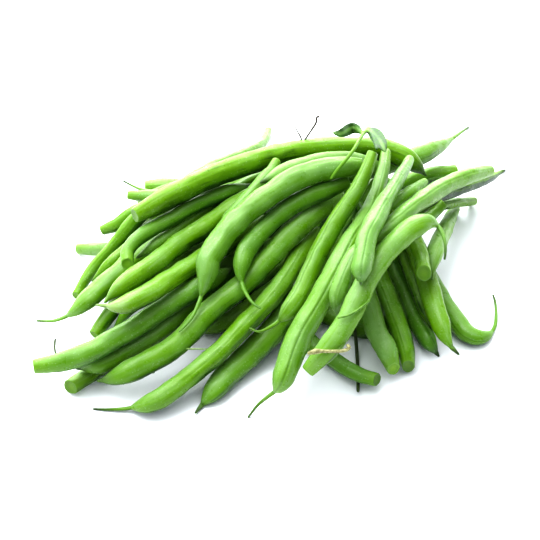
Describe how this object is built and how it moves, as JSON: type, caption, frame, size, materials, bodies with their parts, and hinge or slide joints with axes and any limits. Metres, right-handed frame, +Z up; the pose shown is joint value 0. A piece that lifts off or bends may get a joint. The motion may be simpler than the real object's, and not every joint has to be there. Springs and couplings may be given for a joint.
{
  "type": "green bean bundle",
  "caption": "Loose heap of fresh green bean pods with cut stem ends and thin curved tails, lying across each other, with a small leafy sprig on top.",
  "frame": {"origin": "Centre of the bottom of the heap's box, on the surface it lies on.", "axes": "+X to the right along the heap's longest side, -Y is the front that faces the viewer, +Z up."},
  "size_m": [0.2132, 0.1748, 0.0698],
  "materials": {
    "pod": "fresh green pod skin with a soft waxy shine",
    "pod_pale": "paler yellow-green pod skin with a soft waxy shine",
    "pod_dark": "darker green pod skin with a soft shine",
    "leaf": "small wilted green leaf, matt",
    "dry_stalk": "dry yellowish stalk, matt",
    "dark_stalk": "thin dark green-brown stalk, matt"
  },
  "bodies": {
    "root": {"pod_core_floor_back": "pod", "pod_core_floor_middle": "pod", "pod_core_floor_front": "pod", "pod_core_upper_back": "pod", "stalk_dark": "dark_stalk", "stalk_thin": "dark_stalk", "pod_under_1": "pod_dark", "pod_under_2": "pod_dark", "pod_under_3": "pod_dark", "pod_back_1": "pod_pale", "pod_back_2": "pod", "pod_back_3": "pod", "pod_back_4": "pod", "pod_top_2": "pod", "pod_top_3": "pod", "pod_left_1": "pod", "pod_left_2": "pod", "pod_left_3": "pod", "pod_left_4": "pod", "pod_left_5": "pod", "pod_right_1": "pod", "pod_right_2": "pod", "pod_right_3": "pod_dark", "pod_right_4": "pod", "pod_right_5": "pod_dark", "pod_right_6": "pod", "pod_right_7": "pod", "pod_right_8": "pod", "pod_right_9": "pod_pale", "pod_right_10": "pod_dark", "pod_right_11": "pod_dark", "pod_upper_1": "pod", "pod_upper_2": "pod", "pod_right_12": "pod", "pod_right_13": "pod", "pod_front_1": "pod", "pod_front_2": "pod", "pod_front_3": "pod", "pod_top_4": "pod", "pod_left_6": "pod", "pod_left_8": "pod", "pod_left_7": "pod", "pod_top_1": "pod", "pod_left_9": "pod", "pod_left_10": "pod", "pod_left_11": "pod", "pod_left_12": "pod", "pod_left_13": "pod", "pod_middle_1": "pod", "pod_middle_2": "pod_pale", "pod_middle_3": "pod", "pod_middle_4": "pod", "pod_middle_5": "pod", "pod_middle_6": "pod", "pod_middle_8": "pod", "pod_middle_7": "pod", "pod_middle_9": "pod_pale", "stalk_dry": "dry_stalk", "stalk_curl": "pod", "sprig": "leaf"}
  },
  "joints": []
}
